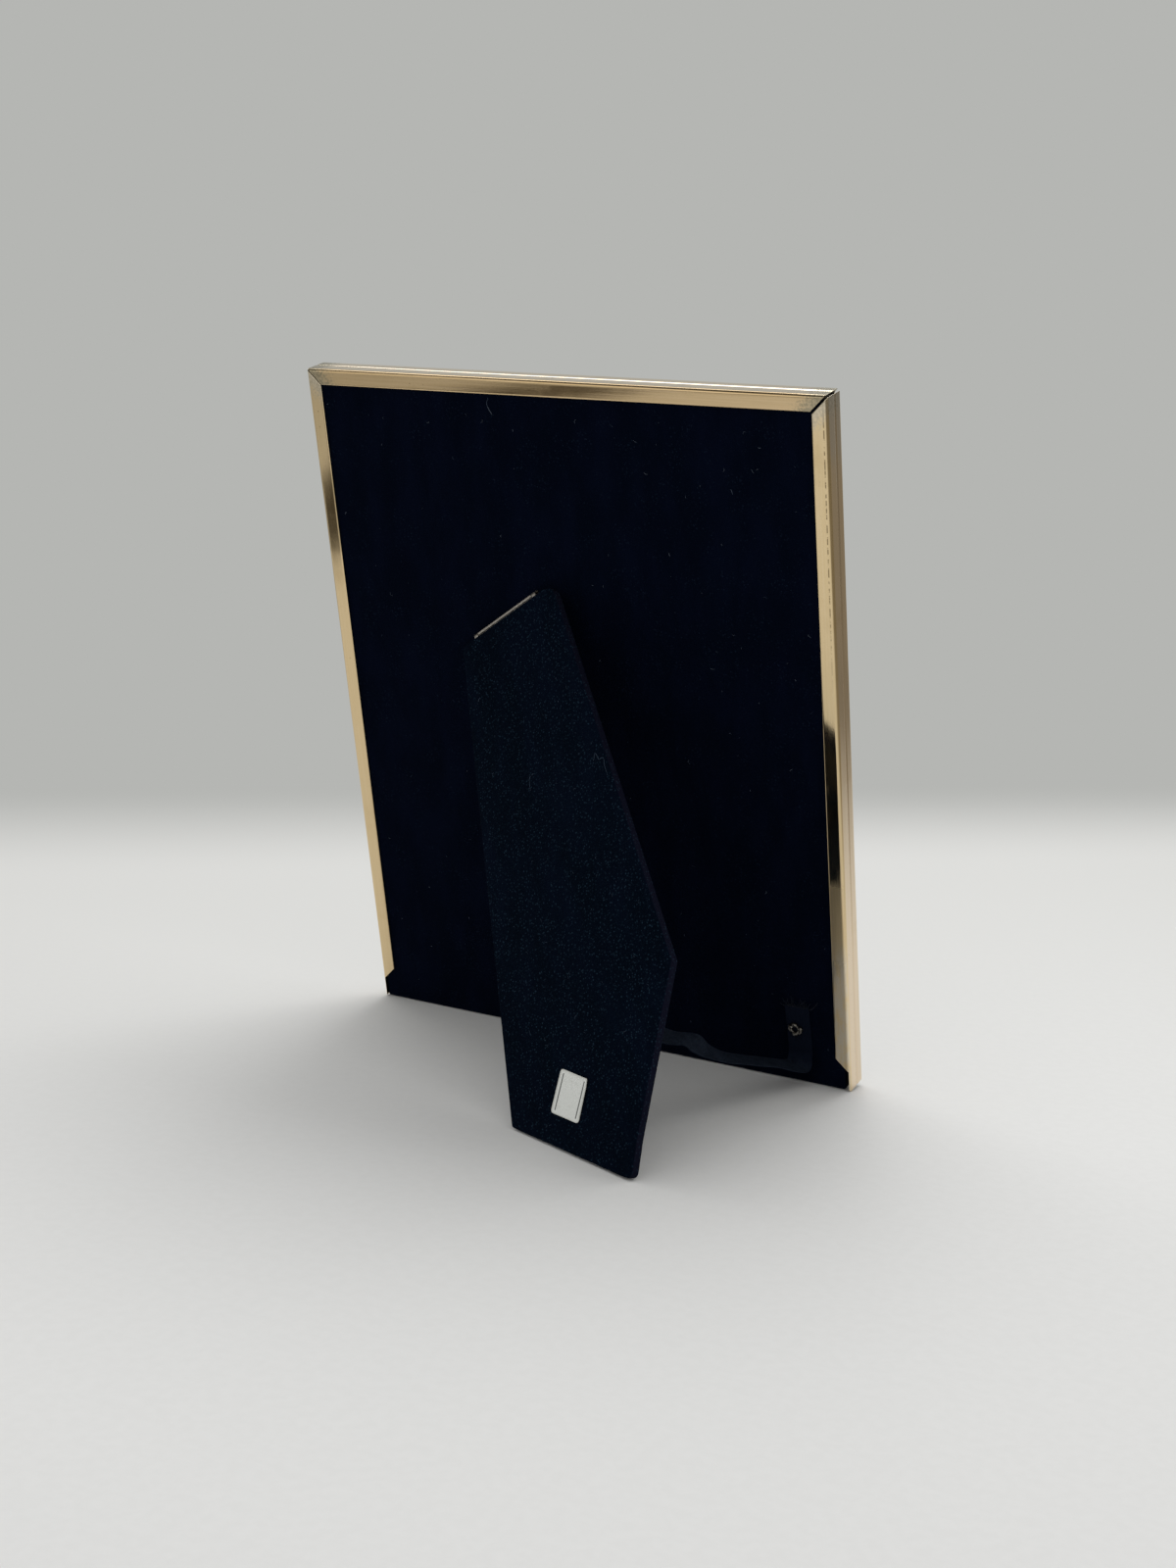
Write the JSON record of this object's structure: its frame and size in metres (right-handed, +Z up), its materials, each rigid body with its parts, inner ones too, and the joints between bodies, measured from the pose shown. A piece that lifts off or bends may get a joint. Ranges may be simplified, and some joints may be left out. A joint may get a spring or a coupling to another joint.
{
  "type": "metal photo frame with easel back",
  "caption": "Upright metal-edged photo frame that leans back on a velvet-covered diagonal easel leg held by a check ribbon.",
  "frame": {"origin": "on the ground, under the middle of the bounding box", "axes": "+Z up, front of the frame towards -Y, easel leg towards +Y, width along X"},
  "size_m": [0.206, 0.1406, 0.2539],
  "materials": {
    "gold_metal": "thin gold-tone plating on rolled steel strip, polished and slightly worn",
    "steel": "bright nickel-plated steel",
    "zinc_steel": "dull zinc-plated steel",
    "velvet": "short black-navy pile velvet",
    "ribbon": "ribbed black ribbon",
    "grey_board": "pressed grey board",
    "lining_paper": "matt black paper",
    "print_paper": "blank satin print",
    "label_paper": "bare white sticker",
    "glass": "clear float glass"
  },
  "bodies": {
    "frame": {"bottom_rail": "gold_metal", "left_rail": "gold_metal", "top_rail": "gold_metal", "right_rail": "gold_metal", "corner_key_bottom_right": "zinc_steel", "corner_key_bottom_left": "zinc_steel", "corner_key_top_left": "zinc_steel", "corner_key_top_right": "zinc_steel", "glass_pane": "glass", "photo_sheet": "print_paper", "backing_card": "grey_board"},
    "back": {"back_board_core": "grey_board", "back_board_velvet": "velvet", "back_board_lining": "lining_paper", "hinge_board_leaf": "steel", "hinge_pin": "steel", "ribbon": "ribbon", "ribbon_board_rivet": "steel"},
    "leg": {"leg_core": "grey_board", "leg_velvet": "velvet", "leg_lining": "lining_paper", "hinge_leg_leaf": "steel", "ribbon_leg_rivet": "steel", "leg_label": "label_paper"}
  },
  "joints": [
    {"name": "board_slide", "type": "slide", "parent": "frame", "child": "back", "axis": [0, -0.2487, -0.9686], "range_m": [0, 0.262]},
    {"name": "easel_hinge", "type": "hinge", "parent": "back", "child": "leg", "pos_m": [0.0265, -0.01568, 0.16668], "axis": [-0.8181, 0.143, 0.5569], "range_deg": [0, 33.5], "deforming": ["ribbon"]}
  ]
}
